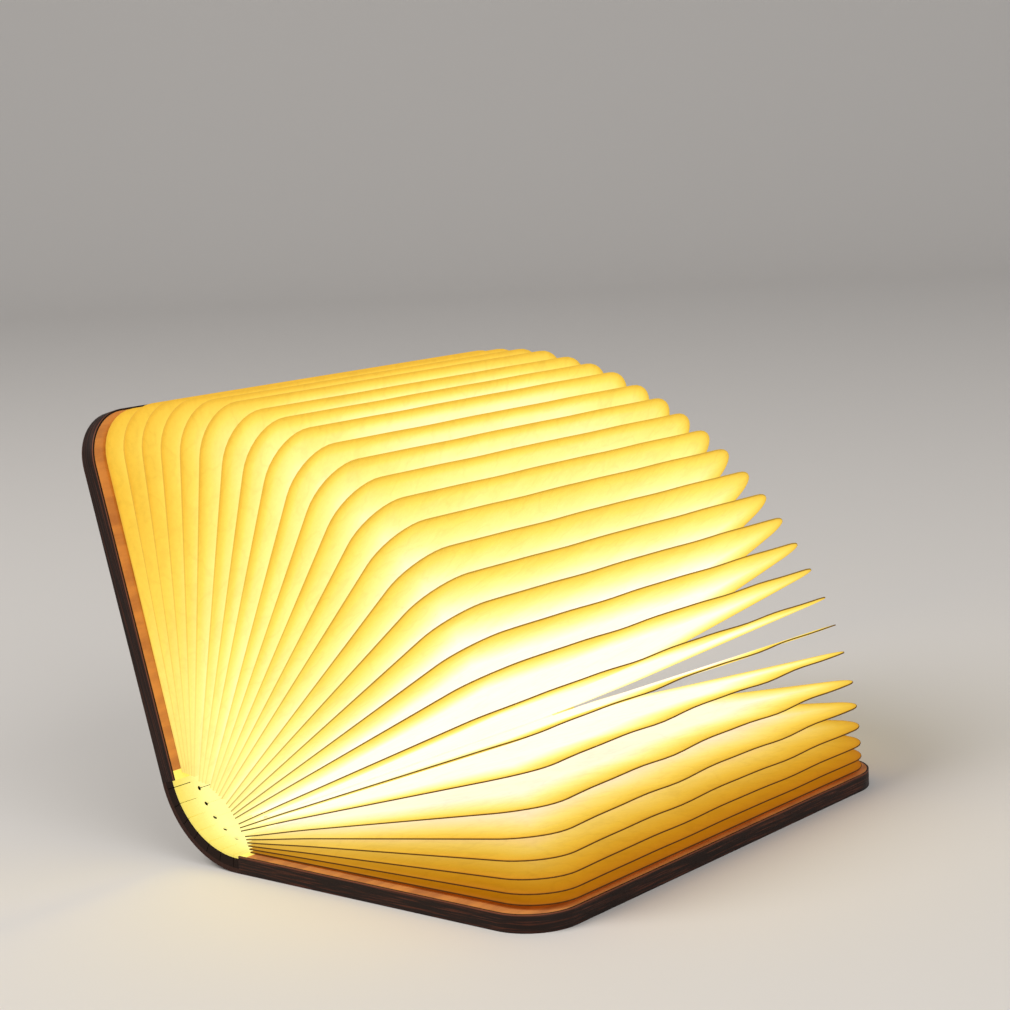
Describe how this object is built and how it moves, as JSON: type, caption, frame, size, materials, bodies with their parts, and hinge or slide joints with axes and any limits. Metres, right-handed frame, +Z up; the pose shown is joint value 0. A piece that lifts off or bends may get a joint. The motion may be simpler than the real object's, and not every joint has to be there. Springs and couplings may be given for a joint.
{
  "type": "folding book lamp",
  "caption": "Small lamp shaped as a hardback book: two covers on a pinned link spine, with a fan of glowing leaves that opens right round.",
  "frame": {"origin": "centre of the opened lamp's box at the surface it stands on", "axes": "+X from the spine towards the fore edge of the lying cover, +Y along the spine, +Z up"},
  "size_m": [0.1162, 0.122, 0.0928],
  "materials": {
    "cover_board": "grey-brown pressed board",
    "cover_wrap": "very dark brown, fine matt grain",
    "endpaper": "reddish brown, matt",
    "spine_skin": "very dark brown, fine matt grain",
    "spine_pad": "dark brown pressed board, cut with kerfs",
    "spine_lining": "white card lining, lit from within",
    "link_silicone": "milky translucent, glows warm white",
    "pin_steel": "dull dark steel",
    "led_strip": "white strip with warm chips",
    "battery_foil": "dull foil",
    "circuit": "green lacquer",
    "port_steel": "plated steel",
    "chip_black": "black moulding",
    "flex_film": "amber film",
    "magnet": "nickel plate",
    "leaf_fibre": "translucent spun fibre sheet, glows warm yellow"
  },
  "bodies": {
    "root": {"lower_board": "cover_board", "lower_wrap": "cover_wrap", "lower_liner": "endpaper", "spine_skin": "spine_skin", "spine_pads": "spine_pad", "spine_lining": "spine_lining", "spine_link_1": "link_silicone", "battery": "battery_foil", "circuit_board": "circuit", "charge_port": "port_steel", "hall_sensor": "chip_black", "flex_lead": "flex_film", "lower_magnets": "magnet"},
    "link_2": {"spine_link_2": "link_silicone", "hinge_pin_1": "pin_steel", "led_strip_1": "led_strip"},
    "link_3": {"spine_link_3": "link_silicone", "hinge_pin_2": "pin_steel", "led_strip_2": "led_strip"},
    "link_4": {"spine_link_4": "link_silicone", "hinge_pin_3": "pin_steel", "led_strip_3": "led_strip"},
    "link_5": {"spine_link_5": "link_silicone", "hinge_pin_4": "pin_steel", "led_strip_4": "led_strip"},
    "upper_cover": {"upper_board": "cover_board", "upper_wrap": "cover_wrap", "upper_liner": "endpaper", "spine_link_6": "link_silicone", "hinge_pin_5": "pin_steel", "upper_magnets": "magnet"},
    "leaf_01": {"leaf_01": "leaf_fibre"},
    "leaf_02": {"leaf_02": "leaf_fibre"},
    "leaf_03": {"leaf_03": "leaf_fibre"},
    "leaf_04": {"leaf_04": "leaf_fibre"},
    "leaf_05": {"leaf_05": "leaf_fibre"},
    "leaf_06": {"leaf_06": "leaf_fibre"},
    "leaf_07": {"leaf_07": "leaf_fibre"},
    "leaf_08": {"leaf_08": "leaf_fibre"},
    "leaf_09": {"leaf_09": "leaf_fibre"},
    "leaf_10": {"leaf_10": "leaf_fibre"},
    "leaf_11": {"leaf_11": "leaf_fibre"},
    "leaf_12": {"leaf_12": "leaf_fibre"},
    "leaf_13": {"leaf_13": "leaf_fibre"},
    "leaf_14": {"leaf_14": "leaf_fibre"},
    "leaf_15": {"leaf_15": "leaf_fibre"},
    "leaf_16": {"leaf_16": "leaf_fibre"},
    "leaf_17": {"leaf_17": "leaf_fibre"},
    "leaf_18": {"leaf_18": "leaf_fibre"},
    "leaf_19": {"leaf_19": "leaf_fibre"},
    "leaf_20": {"leaf_20": "leaf_fibre"},
    "leaf_21": {"leaf_21": "leaf_fibre"},
    "leaf_22": {"leaf_22": "leaf_fibre"},
    "leaf_23": {"leaf_23": "leaf_fibre"},
    "leaf_24": {"leaf_24": "leaf_fibre"},
    "leaf_25": {"leaf_25": "leaf_fibre"},
    "leaf_26": {"leaf_26": "leaf_fibre"},
    "leaf_27": {"leaf_27": "leaf_fibre"},
    "leaf_28": {"leaf_28": "leaf_fibre"}
  },
  "joints": [
    {"name": "spine_hinge_1", "type": "hinge", "parent": "root", "child": "link_2", "pos_m": [-0.01994, 0, 0.00601], "axis": [0, -1, 0], "range_deg": [-21, 51], "deforming": ["spine_skin", "spine_pads", "spine_lining", "flex_lead"]},
    {"name": "spine_hinge_2", "type": "hinge", "parent": "link_2", "child": "link_3", "pos_m": [-0.02381, 0, 0.00704], "axis": [0, -1, 0], "range_deg": [-21.02, 51.02]},
    {"name": "spine_hinge_3", "type": "hinge", "parent": "link_3", "child": "link_4", "pos_m": [-0.02727, 0, 0.00904], "axis": [0, -1, 0], "range_deg": [-21.02, 51.02]},
    {"name": "spine_hinge_4", "type": "hinge", "parent": "link_4", "child": "link_5", "pos_m": [-0.0301, 0, 0.01187], "axis": [0, -1, 0], "range_deg": [-21.02, 51.02]},
    {"name": "spine_hinge_5", "type": "hinge", "parent": "link_5", "child": "upper_cover", "pos_m": [-0.0321, 0, 0.01533], "axis": [0, -1, 0], "range_deg": [-21.02, 51.02]},
    {"name": "leaf_01_fold", "type": "hinge", "parent": "root", "child": "leaf_01", "pos_m": [-0.01689, 0, 0.00391], "axis": [0, -1, 0], "range_deg": [-0.62, 1.47]},
    {"name": "leaf_02_fold", "type": "hinge", "parent": "root", "child": "leaf_02", "pos_m": [-0.01713, 0, 0.00452], "axis": [0, -1, 0], "range_deg": [-1.81, 4.36]},
    {"name": "leaf_03_fold", "type": "hinge", "parent": "root", "child": "leaf_03", "pos_m": [-0.01737, 0, 0.00513], "axis": [0, -1, 0], "range_deg": [-3.59, 8.69]},
    {"name": "leaf_04_fold", "type": "hinge", "parent": "root", "child": "leaf_04", "pos_m": [-0.01762, 0, 0.00574], "axis": [0, -1, 0], "range_deg": [-5.97, 14.48]},
    {"name": "leaf_05_fold", "type": "hinge", "parent": "root", "child": "leaf_05", "pos_m": [-0.01786, 0, 0.00635], "axis": [0, -1, 0], "range_deg": [-8.95, 21.7]},
    {"name": "leaf_06_fold", "type": "hinge", "parent": "root", "child": "leaf_06", "pos_m": [-0.01811, 0, 0.00696], "axis": [0, -1, 0], "range_deg": [-12.52, 30.38]},
    {"name": "leaf_07_fold", "type": "hinge", "parent": "link_2", "child": "leaf_07", "pos_m": [-0.02011, 0, 0.00762], "axis": [0, -1, 0], "range_deg": [-10.54, 4.35]},
    {"name": "leaf_08_fold", "type": "hinge", "parent": "link_2", "child": "leaf_08", "pos_m": [-0.02145, 0, 0.00776], "axis": [0, -1, 0], "range_deg": [-0.4247, 0.1866]},
    {"name": "leaf_09_fold", "type": "hinge", "parent": "link_2", "child": "leaf_09", "pos_m": [-0.02234, 0, 0.00808], "axis": [0, -1, 0], "range_deg": [-4.02, 9.73]},
    {"name": "leaf_10_fold", "type": "hinge", "parent": "link_3", "child": "leaf_10", "pos_m": [-0.02359, 0, 0.00865], "axis": [0, -1, 0], "range_deg": [-31.19, 12.85]},
    {"name": "leaf_11_fold", "type": "hinge", "parent": "link_3", "child": "leaf_11", "pos_m": [-0.02426, 0, 0.00887], "axis": [0, -1, 0], "range_deg": [-21.07, 8.69]},
    {"name": "leaf_12_fold", "type": "hinge", "parent": "link_3", "child": "leaf_12", "pos_m": [-0.02486, 0, 0.00916], "axis": [0, -1, 0], "range_deg": [-10.95, 4.52]},
    {"name": "leaf_13_fold", "type": "hinge", "parent": "link_3", "child": "leaf_13", "pos_m": [-0.02539, 0, 0.0095], "axis": [0, -1, 0], "range_deg": [-0.83, 0.35]},
    {"name": "leaf_14_fold", "type": "hinge", "parent": "link_3", "child": "leaf_14", "pos_m": [-0.02585, 0, 0.00991], "axis": [0, -1, 0], "range_deg": [-3.85, 9.33]},
    {"name": "leaf_15_fold", "type": "hinge", "parent": "link_4", "child": "leaf_15", "pos_m": [-0.0268, 0, 0.01063], "axis": [0, -1, 0], "range_deg": [-31.59, 13.02]},
    {"name": "leaf_16_fold", "type": "hinge", "parent": "link_4", "child": "leaf_16", "pos_m": [-0.02731, 0, 0.01098], "axis": [0, -1, 0], "range_deg": [-21.47, 8.85]},
    {"name": "leaf_17_fold", "type": "hinge", "parent": "link_4", "child": "leaf_17", "pos_m": [-0.02778, 0, 0.0114], "axis": [0, -1, 0], "range_deg": [-11.35, 4.69]},
    {"name": "leaf_18_fold", "type": "hinge", "parent": "link_4", "child": "leaf_18", "pos_m": [-0.02821, 0, 0.0119], "axis": [0, -1, 0], "range_deg": [-1.23, 0.52]},
    {"name": "leaf_19_fold", "type": "hinge", "parent": "link_4", "child": "leaf_19", "pos_m": [-0.0286, 0, 0.0125], "axis": [0, -1, 0], "range_deg": [-3.69, 8.92]},
    {"name": "leaf_20_fold", "type": "hinge", "parent": "link_5", "child": "leaf_20", "pos_m": [-0.02948, 0, 0.01355], "axis": [0, -1, 0], "range_deg": [-32, 13.19]},
    {"name": "leaf_21_fold", "type": "hinge", "parent": "link_5", "child": "leaf_21", "pos_m": [-0.03001, 0, 0.01433], "axis": [0, -1, 0], "range_deg": [-21.88, 9.02]},
    {"name": "leaf_22_fold", "type": "hinge", "parent": "link_5", "child": "leaf_22", "pos_m": [-0.03049, 0, 0.01559], "axis": [0, -1, 0], "range_deg": [-11.76, 4.85]},
    {"name": "leaf_23_fold", "type": "hinge", "parent": "upper_cover", "child": "leaf_23", "pos_m": [-0.03165, 0, 0.01735], "axis": [0, -1, 0], "range_deg": [-52.64, 21.69]},
    {"name": "leaf_24_fold", "type": "hinge", "parent": "upper_cover", "child": "leaf_24", "pos_m": [-0.0323, 0, 0.01743], "axis": [0, -1, 0], "range_deg": [-42.52, 17.52]},
    {"name": "leaf_25_fold", "type": "hinge", "parent": "upper_cover", "child": "leaf_25", "pos_m": [-0.03296, 0, 0.01751], "axis": [0, -1, 0], "range_deg": [-32.4, 13.35]},
    {"name": "leaf_26_fold", "type": "hinge", "parent": "upper_cover", "child": "leaf_26", "pos_m": [-0.03361, 0, 0.01759], "axis": [0, -1, 0], "range_deg": [-22.28, 9.19]},
    {"name": "leaf_27_fold", "type": "hinge", "parent": "upper_cover", "child": "leaf_27", "pos_m": [-0.03426, 0, 0.01766], "axis": [0, -1, 0], "range_deg": [-12.16, 5.02]},
    {"name": "leaf_28_fold", "type": "hinge", "parent": "upper_cover", "child": "leaf_28", "pos_m": [-0.03492, 0, 0.01774], "axis": [0, -1, 0], "range_deg": [-2.04, 0.85]}
  ],
  "couplings": [
    {"joint": "spine_hinge_2", "follows": "spine_hinge_1", "ratio": 1},
    {"joint": "spine_hinge_3", "follows": "spine_hinge_1", "ratio": 1},
    {"joint": "spine_hinge_4", "follows": "spine_hinge_1", "ratio": 1},
    {"joint": "spine_hinge_5", "follows": "spine_hinge_1", "ratio": 1},
    {"joint": "leaf_01_fold", "follows": "spine_hinge_1", "ratio": 0.028345},
    {"joint": "leaf_02_fold", "follows": "spine_hinge_1", "ratio": 0.085034},
    {"joint": "leaf_03_fold", "follows": "spine_hinge_1", "ratio": 0.17007},
    {"joint": "leaf_04_fold", "follows": "spine_hinge_1", "ratio": 0.28345},
    {"joint": "leaf_05_fold", "follows": "spine_hinge_1", "ratio": 0.42517},
    {"joint": "leaf_06_fold", "follows": "spine_hinge_1", "ratio": 0.59524},
    {"joint": "leaf_07_fold", "follows": "spine_hinge_1", "ratio": -0.20635},
    {"joint": "leaf_08_fold", "follows": "spine_hinge_1", "ratio": -0.007935},
    {"joint": "leaf_09_fold", "follows": "spine_hinge_1", "ratio": 0.19048},
    {"joint": "leaf_10_fold", "follows": "spine_hinge_1", "ratio": -0.61111},
    {"joint": "leaf_11_fold", "follows": "spine_hinge_1", "ratio": -0.4127},
    {"joint": "leaf_12_fold", "follows": "spine_hinge_1", "ratio": -0.21429},
    {"joint": "leaf_13_fold", "follows": "spine_hinge_1", "ratio": -0.015875},
    {"joint": "leaf_14_fold", "follows": "spine_hinge_1", "ratio": 0.18254},
    {"joint": "leaf_15_fold", "follows": "spine_hinge_1", "ratio": -0.61905},
    {"joint": "leaf_16_fold", "follows": "spine_hinge_1", "ratio": -0.42063},
    {"joint": "leaf_17_fold", "follows": "spine_hinge_1", "ratio": -0.22222},
    {"joint": "leaf_18_fold", "follows": "spine_hinge_1", "ratio": -0.02381},
    {"joint": "leaf_19_fold", "follows": "spine_hinge_1", "ratio": 0.17461},
    {"joint": "leaf_20_fold", "follows": "spine_hinge_1", "ratio": -0.62699},
    {"joint": "leaf_21_fold", "follows": "spine_hinge_1", "ratio": -0.42857},
    {"joint": "leaf_22_fold", "follows": "spine_hinge_1", "ratio": -0.23016},
    {"joint": "leaf_23_fold", "follows": "spine_hinge_1", "ratio": -1.0317},
    {"joint": "leaf_24_fold", "follows": "spine_hinge_1", "ratio": -0.83334},
    {"joint": "leaf_25_fold", "follows": "spine_hinge_1", "ratio": -0.63492},
    {"joint": "leaf_26_fold", "follows": "spine_hinge_1", "ratio": -0.43651},
    {"joint": "leaf_27_fold", "follows": "spine_hinge_1", "ratio": -0.2381},
    {"joint": "leaf_28_fold", "follows": "spine_hinge_1", "ratio": -0.039685}
  ]
}
